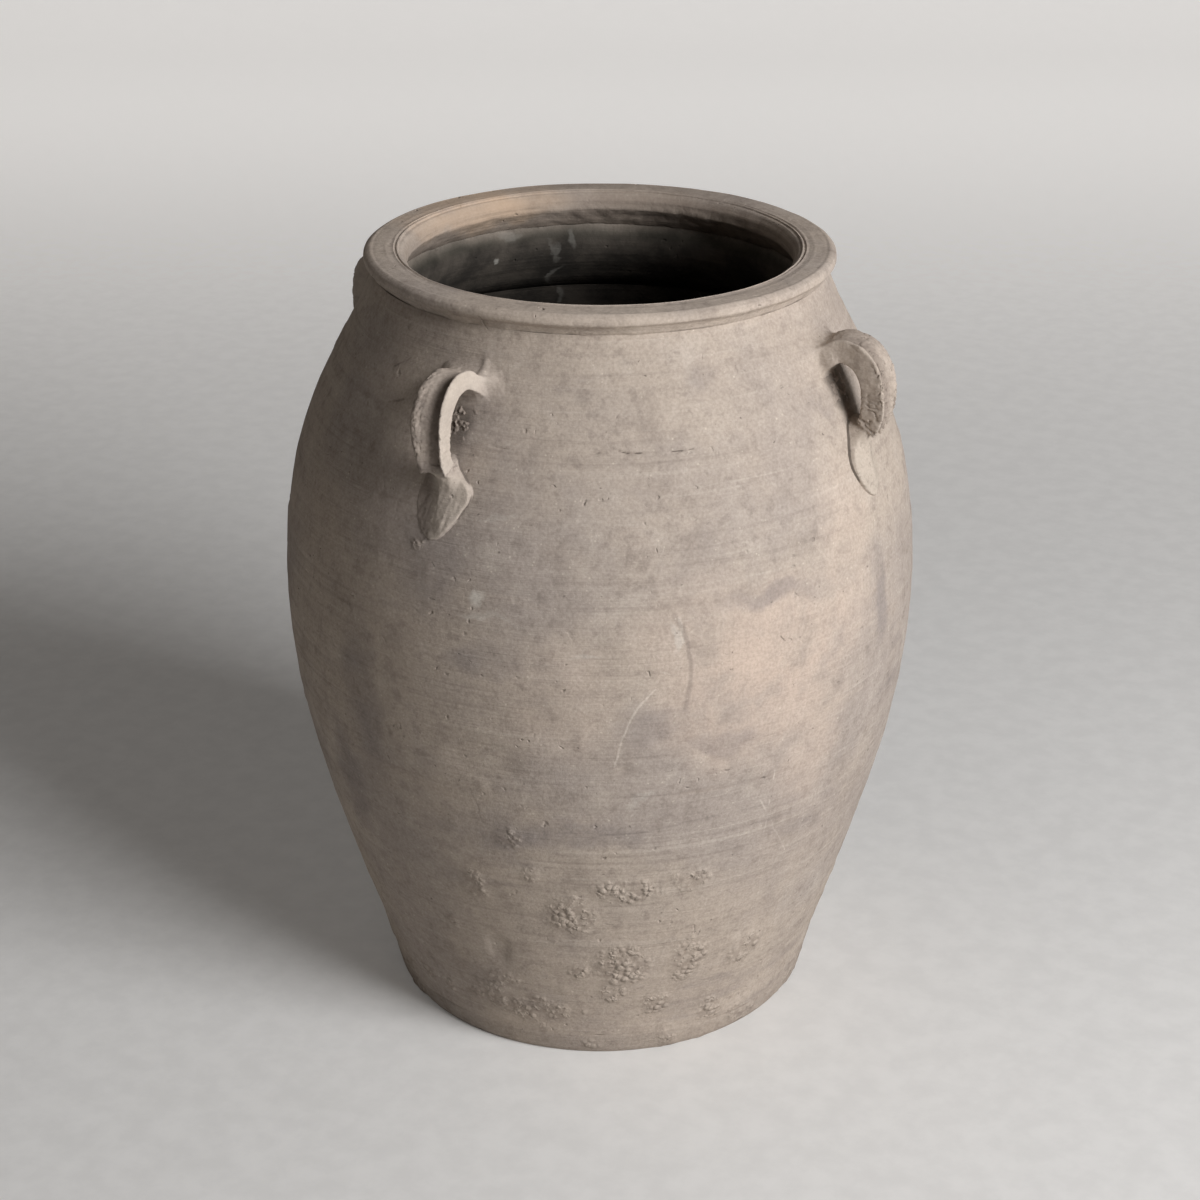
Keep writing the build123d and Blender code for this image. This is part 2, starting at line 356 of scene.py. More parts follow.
def ring_mesh(name, loop, relief, columns=COLUMNS, outer_rows=0):
    """A closed turned piece from a loop of (radius, height), displaced by a relief.
    Its first rows, where they are given, lie on the outer profile."""
    loop = np.array(loop)
    rows = len(loop)
    angles = np.arange(columns) / columns * 2 * math.pi
    around = np.stack([np.cos(angles), np.sin(angles)], axis=1)
    ahead, behind = np.roll(loop, -1, axis=0), np.roll(loop, 1, axis=0)
    along = ahead - behind
    along /= np.linalg.norm(along, axis=1, keepdims=True) + 1e-12
    facing = np.stack([along[:, 1], -along[:, 0]], axis=1)
    if outer_rows:
        on_outside = np.arange(rows) < outer_rows
        slopes = np.where(on_outside, outer_slope(loop[:, 1]), 0)
        sides = np.where(on_outside, 1.0, -1.0)
        facing = np.stack([sides, -slopes], axis=1) / np.sqrt(1 + slopes**2)[:, None]
    points = np.empty((rows, columns, 3))
    points[:, :, :2] = loop[:, None, :1] * around[None]
    points[:, :, 2] = loop[:, None, 1]
    flat = points.reshape(-1, 3)
    shift = relief(flat, np.repeat(np.arange(rows), columns)).reshape(rows, columns)
    points[:, :, :2] += (facing[:, None, :1] * shift[:, :, None]) * around[None]
    points[:, :, 2] += facing[:, None, 1] * shift
    radius = np.linalg.norm(points[:, :, :2], axis=2)
    points[:, :, :2] *= np.minimum(1, BOX_RADIUS / np.maximum(radius, 1e-9))[:, :, None]
    points[:, :, 2] = np.clip(points[:, :, 2], 0, TOP)
    number = np.arange(rows * columns).reshape(rows, columns)
    beside = np.roll(number, -1, axis=1)
    corners = [number, beside, np.roll(beside, -1, axis=0), np.roll(number, -1, axis=0)]
    faces = np.stack(corners, axis=2).reshape(-1, 4)
    piece = mesh_object(name, points.reshape(-1, 3), faces)
    piece.data.set_sharp_from_angle(angle=SHARP_ANGLE)
    return piece


def mesh_object(name, points, faces):
    """A smooth-shaded mesh object from arrays of points and of four-cornered faces."""
    mesh = bpy.data.meshes.new(name)
    mesh.vertices.add(len(points))
    mesh.vertices.foreach_set("co", points.astype(np.float32).ravel())
    mesh.loops.add(faces.size)
    mesh.loops.foreach_set("vertex_index", faces.astype(np.int32).ravel())
    mesh.polygons.add(len(faces))
    mesh.polygons.foreach_set("loop_start", np.arange(0, faces.size, 4, dtype=np.int32))
    mesh.polygons.foreach_set("loop_total", np.full(len(faces), 4, dtype=np.int32))
    mesh.update(calc_edges=True)
    mesh.validate()
    mesh.polygons.foreach_set("use_smooth", np.ones(len(mesh.polygons), dtype=bool))
    piece = bpy.data.objects.new(name, mesh)
    bpy.context.scene.collection.objects.link(piece)
    return piece


def keep_shares(piece, **shares):
    """Stores values from 0 to 1 at each point, for the material to read."""
    for name, values in shares.items():
        attribute = piece.data.attributes.new(name, "FLOAT", "POINT")
        values = np.broadcast_to(np.clip(values, 0, 1), len(piece.data.vertices))
        attribute.data.foreach_set("value", values.astype(np.float32))


def mark_wall(piece):
    """Stores where a piece of the wall is crusted and cracked."""
    values = np.empty(len(piece.data.vertices) * 3, np.float32)
    piece.data.vertices.foreach_get("co", values)
    places = values.reshape(-1, 3).astype(float)
    crack = seam_groove(places) + foot_line(places) * 0.5
    keep_shares(piece, crust=crust_share(places), crack=crack)
    return piece


def wall_piece(name, low, high, inner_low, inner_high):
    """A thrown section of the wall: dense rows outside, coarse rows inside."""
    heights = even_heights(low, high, WALL_ROWS, (SEAM, FLOOR))
    outside = [(outer(height), height) for height in heights]
    inner_count = max(6, int((inner_high - inner_low) / INNER_ROWS))
    inside = [(inner(height), height) for height in np.linspace(inner_high, inner_low, inner_count)]
    outer_rows = len(outside)

    def relief(points, rows):
        shown = rows < outer_rows
        out = np.where(shown, 0.0, 0.35 * MM * noise(points, 0.03, 71, 2))
        out[shown] = wall_relief(points[shown])
        return out

    return mark_wall(ring_mesh(name, outside + inside, relief, outer_rows=outer_rows))


def base_piece():
    """The slab, with a worn and chipped lower edge."""
    edge = [(outer(max(height, 1.5 * MM)) - 1.3 * MM * (1 - ease(height, 0, 2.4 * MM)), height)
            for height in even_heights(0.2 * MM, FLOOR, EDGE_ROWS, (FLOOR,))]
    top = [(radius, FLOOR) for radius in np.linspace(edge[-1][0] - 0.004, 0.004, 12)]
    under = [(radius, 0.0) for radius in np.linspace(0.004, edge[0][0] - 1.6 * MM, 14)]
    edge_rows = len(edge)

    def relief(points, rows):
        out = np.zeros(len(points))
        shown = rows < edge_rows
        seen = points[shown]
        worn = ease(noise(seen, 0.02, 81, 2), 0.25, 0.6) * ease(seen[:, 2], 7 * MM, 0)
        chips = ease(noise(seen, 0.008, 82, 2), 0.45, 0.7) * ease(seen[:, 2], 5 * MM, 0)
        out[shown] = wall_relief(seen) - (1.2 * worn + 0.9 * chips) * MM
        return out

    return mark_wall(ring_mesh("jar_base", edge + top + under, relief, outer_rows=edge_rows))


def collar_section():
    """The collar's section from the frame, as corners in order round it."""
    places = [vertex.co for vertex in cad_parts["rim_collar"].data.vertices]
    found = dict.fromkeys((round(place.xy.length, 5), round(place.z, 5))
                          for place in places if is_clear(place))
    corners = np.array(list(found))
    middle = (corners.min(0) + corners.max(0)) / 2
    turn = np.arctan2(corners[:, 1] - middle[1], corners[:, 0] - middle[0])
    return corners[np.argsort(turn)]


def rounded_loop(corners, step, soft):
    """A closed loop of evenly spaced points round corners, softened over a length."""
    closed = np.vstack([corners, corners[:1]])
    lengths = np.linalg.norm(np.diff(closed, axis=0), axis=1)
    travelled = np.concatenate([[0], np.cumsum(lengths)])
    count = int(travelled[-1] / step)
    places = np.arange(count) / count * travelled[-1]
    loop = np.stack([np.interp(places, travelled, closed[:, axis]) for axis in (0, 1)], axis=1)
    reach = np.arange(-8, 9)
    weights = np.exp(-0.5 * (reach * step / soft) ** 2)
    weights /= weights.sum()
    return sum(np.roll(loop, shift, axis=0) * weight for shift, weight in zip(reach, weights))


def collar_piece():
    """The collar, with turned rings on its flat top and an uneven lip."""
    loop = rounded_loop(collar_section(), 0.5 * MM, 0.6 * MM)

    def relief(points, rows):
        radius = np.linalg.norm(points[:, :2], axis=1)
        radius += 0.4 * MM * noise(points, 0.05, 91)
        line = radius[:, None] * np.array([1, 0, 0])
        flat_top = ease(points[:, 2], TOP - 2 * MM, TOP - 0.6 * MM)
        rings = noise(line, 2.6 * MM, 92) * 0.22 + noise(line, 1.2 * MM, 93) * 0.2
        out = flat_top * rings * MM
        for groove in RIM_GROOVES:
            out -= flat_top * ease(np.abs(radius - groove), 0.8 * MM, 0.2 * MM) * 0.6 * MM
        out += 0.35 * MM * noise(points, 0.035, 94) + 0.15 * MM * noise(points, 0.009, 95, 2)
        under = ease(points[:, 2], TOP - 6 * MM, TOP - 8 * MM)
        uneven = 0.45 * noise(points, 0.012, 96, 2) + 0.35 * noise(points, 4 * MM, 97, 2)
        return out + under * uneven * MM - 0.25 * MM

    piece = ring_mesh("jar_collar", loop, relief, COLLAR_COLUMNS)
    keep_shares(piece, crust=0, crack=0)
    return piece


# The handles

ROOT_HEIGHT, TIP_HEIGHT = 0.3465, 0.283
# The field's grid: its cell, the cells in a coarse block, how near to the surface it is
# worked out closely, and a handle's box, with the handle on +X
CELL, BLOCK, CLOSE = 0.5 * MM, 4, 3.6 * MM
FIELD_LOW = np.array([0.0945, -0.0245, TIP_HEIGHT - 0.005])
FIELD_HIGH = np.array([0.1535, 0.0245, ROOT_HEIGHT + 0.0150])

# Sizes of every handle in millimetres. A strap's section runs from the rounded edge of
# its ridge to the cut face of its ribbon, and its corners are softened
RIDGE_EDGE, RIBBON_EDGE = 9.8, 8.0
RIDGE_SOFT, BACK_SOFT, RIBBON_SOFT = 5.0, 2.4, 0.6
CRACK_DEPTH, WRINKLE_DEPTH = 0.6, 0.8
LEAF_TOP, SUNK_DEPTH = 35.5, 1.6
TANG_WAY = (-0.884, -0.468)
TANG_RADIUS, TANG_MIDDLE, TANG_HALF = 6.4, 6.0, 7.0
PAD_RADIUS, PAD_THICKNESS, PAD_MIDDLE, PAD_FACE = 9.3, 4.7, 10.6, 9.8

# The middle of a strap in its radial plane: millimetres out and up from its root
STRAP_ROUTE = [(-4.0, -3.5), (2.5, 1.6), (9.0, 4.8), (15.5, 4.4), (21.0, 1.6), (25.0, -3.4),
               (27.3, -9.4), (28.0, -15.5), (28.0, -21.5), (27.0, -26.5), (25.0, -31.0)]
# The leaf's outline, in millimetres from the handle's middle towards its ribbon and
# above its tip: with a flap thrown out under the ribbon, and as a long oval
FLAP_LEAF = [(-7.4, 36), (5.0, 36), (7.0, 31.5), (12.0, 27.0), (15.6, 22.5), (14.8, 18),
             (10.6, 10.5), (4.8, 3.0), (-1.0, -0.8), (-6.5, 1.2), (-10.6, 7.5), (-12.2, 15),
             (-10.6, 26)]
OVAL_LEAF = [(-7.0, 36), (-10.0, 25), (-10.8, 13), (-7.0, 3), (-1.0, -0.8), (5.2, 1.0),
             (11.6, 8.0), (14.8, 15.5), (13.6, 23), (9.6, 29.5), (5.4, 36)]

# A handle's ribbon is the crisp edge of its strap, on the right (side 1) or left (-1).
# Heights off the strap's middle are in millimetres: the rounded ridge, the channel's
# floor, the ribbon's lip and its foot. The roll is in degrees, from root to kink. Torn,
# cut, flare and shade say how strong each of these looks is, from 0 to 1
HANDLES = {
    "handle_right": dict(angle=0, reach=1.0, seed=101, side=-1, leaf=OVAL_LEAF, torn=1.0,
                         ridge=5.6, floor=3.7, lip=4.9, foot=-6.4, cut=0.2, flare=0.5,
                         shade=0.15, roll=(0, 0, 0, 0, 0)),
    "handle_front": dict(angle=-90, reach=1.0, seed=102, side=1, leaf=FLAP_LEAF, torn=0.4,
                         ridge=4.8, floor=0.4, lip=4.6, foot=-4.2, cut=1.0, flare=0.6,
                         shade=1.0, roll=(0, 8, 8, -2, -6)),
    "handle_left": dict(angle=176, reach=0.86, seed=103, side=1, leaf=OVAL_LEAF, torn=0.4,
                        ridge=4.8, floor=0.4, lip=4.6, foot=-4.8, cut=0.5, flare=0.6,
                        shade=0.4, roll=(0, 6, 4, -4, -6)),
    "handle_back": dict(angle=94, reach=0.92, seed=104, side=1, leaf=FLAP_LEAF, torn=0.6,
                        ridge=4.4, floor=-0.2, lip=4.6, foot=-4.6, cut=0.7, flare=0.6,
                        shade=1.0, roll=(0, 8, 6, -4, -6)),
}


def handle_route(reach):
    """The middle of a strap in its radial plane, as a smooth line of points."""
    points = np.array(STRAP_ROUTE) * np.array([reach, 1.0]) * MM
    points += np.array([outer(ROOT_HEIGHT), ROOT_HEIGHT])
    ends = np.vstack([2 * points[0] - points[1], points, 2 * points[-1] - points[-2]])
    route = []
    for index in range(1, len(points)):
        before, start, end, after = ends[index - 1:index + 3]
        for share in (0.0, 1 / 3, 2 / 3):
            turned = (end - before) * share + (2 * before - 5 * start + 4 * end - after) * share**2
            turned = turned + (3 * start - before - 3 * end + after) * share**3
            route.append(start + 0.5 * turned)
    return np.array([*route, points[-1]])


def smooth_outline(corners):
    """A closed outline with its corners cut twice, so that it runs smoothly."""
    for _ in range(2):
        cut = []
        for (ax, ay), (bx, by) in zip(corners, corners[1:] + corners[:1]):
            cut += [(ax + (bx - ax) * share, ay + (by - ay) * share) for share in (0.22, 0.78)]
        corners = cut
    return corners


def along_route(route, radial, height):
    """For points in the radial plane: the way along the route, and the distance from
    it to its outer side. Both run on in a straight line past the route's ends."""
    best = np.full(radial.shape, 1e9)
    along = np.zeros(radial.shape)
    side = np.zeros(radial.shape)
    travelled = 0.0
    for index, (start, end) in enumerate(zip(route[:-1], route[1:])):
        run = end - start
        length = np.linalg.norm(run)
        way = run / length
        off_x, off_z = radial - start[0], height - start[1]
        raw = off_x * way[0] + off_z * way[1]
        low = -1.0 if index == 0 else 0.0
        high = 1.0 if index == len(route) - 2 else length
        share = np.clip(raw, low, high)
        distance = np.hypot(off_x - share * way[0], off_z - share * way[1])
        nearer = distance < best
        best = np.where(nearer, distance, best)
        along = np.where(nearer, travelled + share, along)
        side = np.where(nearer, distance * np.sign(off_z * way[0] - off_x * way[1]), side)
        travelled += length
    return along, side


def smooth_join(first, second, soft):
    """The smooth union of two distance fields."""
    share = np.clip(0.5 + 0.5 * (second - first) / soft, 0, 1)
    return second * (1 - share) + first * share - soft * share * (1 - share)


def smooth_cut(first, second, soft):
    """The smooth overlap of two distance fields."""
    return -smooth_join(-first, -second, soft)


def outline_distance(corners, across, up):
    """The distance to a closed outline, below 0 inside it."""
    best = np.full(across.shape, 1e9)
    inside = np.zeros(across.shape, bool)
    for (ax, ay), (bx, by) in zip(corners, corners[1:] + corners[:1]):
        run_x, run_y = bx - ax, by - ay
        share = ((across - ax) * run_x + (up - ay) * run_y) / (run_x**2 + run_y**2)
        share = np.clip(share, 0, 1)
        best = np.minimum(best, np.hypot(across - ax - share * run_x, up - ay - share * run_y))
        crosses = (ay > up) != (by > up)
        meets = ax + (up - ay) * run_x / (run_y if run_y else 1e-9)
        inside ^= crosses & (across < meets)
    return np.where(inside, -best, best)


class WallFace:
    """The displaced wall round one handle, kept as a small map for speed."""

    def __init__(self, angle):
        self.low = np.array([-0.3, TIP_HEIGHT - 0.012])
        self.step = np.array([0.006, 0.7 * MM])
        self.counts = (101, 126)
        turns = self.low[0] + np.arange(self.counts[0]) * self.step[0]
        heights = self.low[1] + np.arange(self.counts[1]) * self.step[1]
        turn, height = np.meshgrid(turns, heights, indexing="ij")
        radius = outer(height)
        turn = turn + angle
        places = np.stack([radius * np.cos(turn), radius * np.sin(turn), height], axis=-1)
        self.map = wall_relief(places.reshape(-1, 3)).reshape(self.counts)

    def __call__(self, x, y, z):
        plain = (np.hypot(x, y) - outer(z)) / np.sqrt(1 + outer_slope(z) ** 2)
        place = (np.stack([np.arctan2(y, x), z], axis=-1) - self.low) / self.step
        place = np.clip(place, 0, np.array(self.counts) - 1.001)
        cell = place.astype(int)
        part = place - cell
        value = 0
        for i in (0, 1):
            for j in (0, 1):
                weight = np.abs(1 - i - part[..., 0]) * np.abs(1 - j - part[..., 1])
                value = value + weight * self.map[cell[..., 0] + i, cell[..., 1] + j]
        return plain - value


def strap_distance(handle, along, side, across, end, bumps):
    """The distance to a strap in millimetres, with its own section's coordinates."""
    coarse, fine, grit = bumps
    seed = handle["seed"]
    flare = ease(along, 18, 3)
    flared = np.where(across > 0, handle["flare"], 0.1) * flare
    wide = 1 - 0.08 * ease(along, end - 22, end - 4) + flared
    roll = np.radians(np.interp(along, (0, 14, 26, end - 16, end), handle["roll"]))
    raw_u, raw_v = across / wide + 0.4 * coarse, side + 0.3 * coarse
    u = raw_u * np.cos(roll) + raw_v * np.sin(roll)
    v = raw_v * np.cos(roll) - raw_u * np.sin(roll)
    opened = ease(along, 6, 24)
    floor = handle["floor"] + (handle["ridge"] - 1.5 - handle["floor"]) * (1 - opened)
    ridge = handle["ridge"] - 0.8 * ease(along, end - 18, end) + 0.5 * coarse
    lip = handle["lip"] - 1.4 * ease(along, 24, 8) + 0.35 * fine
    slope = 0.5 * ease(u, 5.0, -6.0) + 0.5 * np.clip((5.0 - u) / 11, 0, 1)
    top = floor + (ridge - floor) * slope + (lip - floor) * ease(u, 5.2, 7.0)
    foot = handle["foot"] - 1.2 * flare
    bottom = foot + (foot + 6.0) * -0.8 * ease(u, 6, -2)
    rough = ease(u, 5.4, 3.0)
    over = (v - top) * (0.86 - 0.24 * ease(np.abs(u - 6), 1.6, 0.4))
    over = over - (0.24 * fine + 0.2 * grit) * rough
    narrowed = 1.2 * ease(along, end - 26, end - 4)
    strap = smooth_cut(over, -u - RIDGE_EDGE + narrowed, RIDGE_SOFT)
    strap = smooth_cut(strap, bottom - v, BACK_SOFT)
    strap = smooth_cut(strap, u - RIBBON_EDGE - 0.12 * fine - 0.06 * grit, RIBBON_SOFT)
    # Stretch cracks along the ridges, and the wrinkled lower end
    lines = np.stack([along * 0.3, u, v], axis=1) * MM
    cracks = ease(np.abs(noise(lines, 1.8 * MM, seed + 3, 2)), 0.12, 0.0)
    cracks = cracks * ease(v, 1.5, 3.5) * ease(along, 16, 24) * ease(along, end - 2, end - 12)
    cracks = cracks * (0.35 + 0.65 * handle["torn"])
    lines = np.stack([along, u, v * 0.5], axis=1) * MM
    wrinkles = ease(np.abs(noise(lines, 2.2 * MM, seed + 4, 2)), 0.2, 0.0)
    wrinkles = wrinkles * ease(along, end - 30, end - 8) * handle["torn"]
    # Its torn lower end
    ragged = noise(np.stack([u, v, np.full_like(u, seed)], axis=1) * MM, 2.8 * MM, seed + 5, 3)
    stop = along - end - 0.5 + (3.2 * ragged + 1.2 * fine) * (0.25 + 0.75 * handle["torn"])
    strap = strap + 0.5 * np.maximum(across - RIBBON_EDGE, 0) * flare
    strap = np.maximum(strap + cracks * CRACK_DEPTH + wrinkles * WRINKLE_DEPTH, stop * 0.9)
    place = (v - (lip + foot) / 2) / ((lip - foot) / 2)
    return strap, u, v, place, v - top, np.maximum(cracks, wrinkles * 0.8), stop


def leaf_height(handle, across, up, bumps):
    """How far a leaf stands off the wall, with its border's distance and its shade."""
    coarse, fine, grit = bumps
    outline = smooth_outline(handle["leaf"])
    border = outline_distance(outline, across + 0.5 * coarse, up + 0.5 * coarse + 0.3 * fine)
    fall = np.clip((1.0 - across) / 12.5, 0, 1)
    thick = 2.3 + 1.4 * ease(up, 8, 24) - 1.1 * ease(up, 9, 0) - 0.9 * ease(across, 3, 15)
    bridge = 5.6 * ease(up, 20, 35) * ease(np.abs(across), 11, 6)
    seed = handle["seed"]
    strokes = np.stack([across - 0.3 * up, up * 0.14, np.full_like(up, seed)], axis=1) * MM
    height = thick * (1 - fall) ** 1.5 + bridge * (1 - 0.7 * fall)
    height = height + 0.16 * fine + 0.12 * grit + 0.3 * noise(strokes, 1.5 * MM, seed + 6, 2)
    shade = ease(fall, 0.1, 0.6) * ease(border, 0.3, -1.5) * handle["shade"]
    sunk = 0.8 * ease(border, -0.2, 0.3) + 2.4 * ease(border, 0.2, 2.2)
    return height * ease(border, 0.15, -0.8) - sunk, border, shade


def handle_field(points, handle, route, face):
    """The distance field of a handle on +X, in metres, and the shares of its looks."""
    x, y, z = points.T
    seed = handle["seed"]
    along, side = along_route(route, x, z)
    along, side = along / MM, side / MM
    across = y / MM * handle["side"]
    up = (z - TIP_HEIGHT) / MM
    end = np.linalg.norm(np.diff(route, axis=0), axis=1).sum() / MM
    wall = face(x, y, z) / MM
    coarse, fine = noise(points, 9 * MM, seed, 2), noise(points, 2.6 * MM, seed + 1, 2)
    grit = noise(points, 1.1 * MM, seed + 2)
    bumps = (coarse, fine, grit)
    strap, u, v, place, off_top, cracks, stop = strap_distance(
        handle, along, side, across, end, bumps)
    # The root's smear on the shoulder, and rough clay under the arch
    root_up = (z - ROOT_HEIGHT) / MM
    reach = np.hypot((across - 4.0) / 18.0, (root_up - 1.0) / 11.0)
    smear = 2.5 * np.exp(-((1.5 * reach) ** 2)) - 0.45 + 0.15 * coarse
    smear = smear - 2.6 * ease(reach, 0.95, 1.5)
    under = ease(np.abs(across - 2), 10, 4) * ease(root_up, -6, -10) * ease(root_up, -26, -16)
    pebbles = under * (0.5 + 1.3 * fine + 0.9 * grit) - 0.5 - 2.4 * ease(under, 0.3, 0.0)
    root = wall - np.maximum(smear, pebbles)
    near_root = ease(along, 26, 12)
    soft = 1.4 + near_root * (4.6 * ease(v, -1, 3.5) + 1.0 * ease(u, 4, 9))
    body = smooth_join(strap, root, soft + 1.2 * ease(along, 12, 3))
    # The leaf, pressed on the wall, with the strap flowing into it where it isn't torn
    height, border, shade = leaf_height(handle, across, up, bumps)
    leaf = np.maximum(wall - height, up - LEAF_TOP)
    flowing = ease(along, end - 12, end - 3) * (1 - handle["torn"])
    soft = 0.8 + 1.6 * ease(u, 5.5, 3.0) + (4.4 + 3.0 * ease(u, -3, 3)) * flowing
    body = np.maximum(smooth_join(body, leaf, soft), -(wall + SUNK_DEPTH))
    # The tang through the shoulder and its pad inside
    way_out, way_up = TANG_WAY
    root_x = (x - outer(ROOT_HEIGHT)) / MM
    deep = root_x * way_out + root_up * way_up
    off = np.hypot(root_x * way_up - root_up * way_out, across)
    tang = np.maximum(off - TANG_RADIUS, np.abs(deep - TANG_MIDDLE) - TANG_HALF)
    dome = np.sqrt((off / PAD_RADIUS) ** 2 + ((deep - PAD_MIDDLE) / PAD_THICKNESS) ** 2 + 1e-9)
    split = ease(np.abs(root_up * 0.6 + across * 0.3 + 1.2 * coarse), 0.9, 0.2) * ease(off, 8, 5)
    pad = (dome - 1) * PAD_THICKNESS + 0.3 * coarse + 0.2 * fine + 1.2 * split
    body = np.minimum(body, np.minimum(tang, np.maximum(pad, PAD_FACE - deep)))
    # Where the clay is cut, cracked or pale, and where shade is painted: in the channel,
    # on the leaf's falling side, under the arch and along the leaf's edge
    on_strap = ease(stop, 0.5, -1.0)
    # A painted shadow along the leaf's edge, where it meets the wall
    leaf_edge_shadow = ease(np.abs(border + 0.1), 0.9, 0.2) * ease(wall, 1.6, 0.7)
    leaf_edge_shadow = leaf_edge_shadow * ease(coarse, -0.6, -0.1) * ease(up, 6, 12) * ease(across, 2, 6)
    channel = ease(u, -3.0, 3.5) * ease(u, 7.2, 6.4)
    channel = channel * ease(np.abs(off_top), 2.0, 0.8) * ease(along, 10, 26) * on_strap
    ribbon = ease(u, 6.6, 7.4) * ease(np.abs(place), 1.05, 0.9) * ease(along, 4, 14) * on_strap
    looks = {
        "cut": ribbon * handle["cut"],
        "hollow_shade": np.maximum(channel, np.maximum(shade, under * ease(wall, 2.5, 0.8))),
        "crack": np.maximum(np.maximum(cracks * 0.7, split * ease(deep, 10, 12)), leaf_edge_shadow),
        "pale": ease(border, 0.2, -1.0) * (1 - shade) * ease(stop, -1, 1),
    }
    return body * MM, looks


def net_mesh(values, low, cell):
    """Surface net of a grid of distances: points in each crossed cell, faces between."""
    inside = values < 0
    shape = tuple(np.array(values.shape) - 1)
    count = np.zeros(shape)
    total = np.zeros((*shape, 3))
    spans = {corner: tuple(slice(start, start + size) for start, size in zip(corner, shape))
             for corner in np.ndindex(2, 2, 2)}
    for corner in spans:
        for axis in range(3):
            if corner[axis]:
                continue
            other = tuple(1 if index == axis else value for index, value in enumerate(corner))
            first, second = values[spans[corner]], values[spans[other]]
            crossed = (first < 0) != (second < 0)
            share = np.where(crossed, first / np.where(crossed, first - second, 1), 0)
            count += crossed
            for index in range(3):
                place = corner[index] + (share if index == axis else 0)
                total[..., index] += crossed * place
    used = count > 0
    number = np.full(shape, -1)
    number[used] = np.arange(used.sum())
    points = low + (np.argwhere(used) + total[used] / count[used][:, None]) * cell
    faces = []
    for axis in range(3):
        first, second = [slice(1, -1)] * 3, [slice(1, -1)] * 3
        first[axis], second[axis] = slice(0, -1), slice(1, None)
        starts_in, ends_in = inside[tuple(first)], inside[tuple(second)]
        at = np.argwhere(starts_in != ends_in) + 1 - np.eye(3, dtype=int)[axis]
        flips = starts_in[starts_in != ends_in]
        step_a, step_b = np.roll(np.eye(3, dtype=int), -axis - 1, axis=0)[:2]
        around = [at - step_a - step_b, at - step_b, at, at - step_a]
        quads = np.stack([number[tuple(place.T)] for place in around], axis=1)
        faces.append(np.where(flips[:, None], quads, quads[:, ::-1]))
    return points, np.vstack(faces)


def field_grid(field, low, high):
    """A field's values on a grid, worked out closely only near its surface."""
    blocks = np.ceil((high - low) / (CELL * BLOCK)).astype(int)

    def spread(block_values):
        return block_values.repeat(BLOCK, 0).repeat(BLOCK, 1).repeat(BLOCK, 2)

    centres = low + (np.argwhere(np.ones(blocks)) + (0.5 - 0.5 / BLOCK)) * (CELL * BLOCK)
    coarse = np.concatenate([field(part) for part in np.array_split(centres, 4)]).reshape(blocks)
    values = spread(coarse)
    cells = np.argwhere(spread(np.abs(coarse) < CLOSE))
    parts = [field(low + part * CELL) for part in np.array_split(cells, 10)]
    values[tuple(cells.T)] = np.concatenate(parts)
    return values


def handle_piece(name):
    """One pulled handle, meshed from its field and turned to its place."""
    handle = HANDLES[name]
    angle = math.radians(handle["angle"])
    route = handle_route(handle["reach"])
    face = WallFace(angle)

    def distance(points):
        return handle_field(points, handle, route, face)[0]

    points, faces = net_mesh(field_grid(distance, FIELD_LOW, FIELD_HIGH), FIELD_LOW, CELL)
    looks = handle_field(points, handle, route, face)[1]
    cos, sin = math.cos(angle), math.sin(angle)
    turn = np.array([[cos, sin, 0], [-sin, cos, 0], [0, 0, 1]])
    piece = mesh_object("jar_" + name, points @ turn, faces)
    keep_shares(piece, **looks, crust=0)
    return piece


# The materials

def linear(red, green, blue):
    """A colour given as it looks on a screen, from 0 to 255, as the shader needs it."""
    return (*[((value / 255 + 0.055) / 1.055) ** 2.4 for value in (red, green, blue)], 1.0)


# How far through the clay a patch of colour reaches
PATCH_DEPTH = 0.03


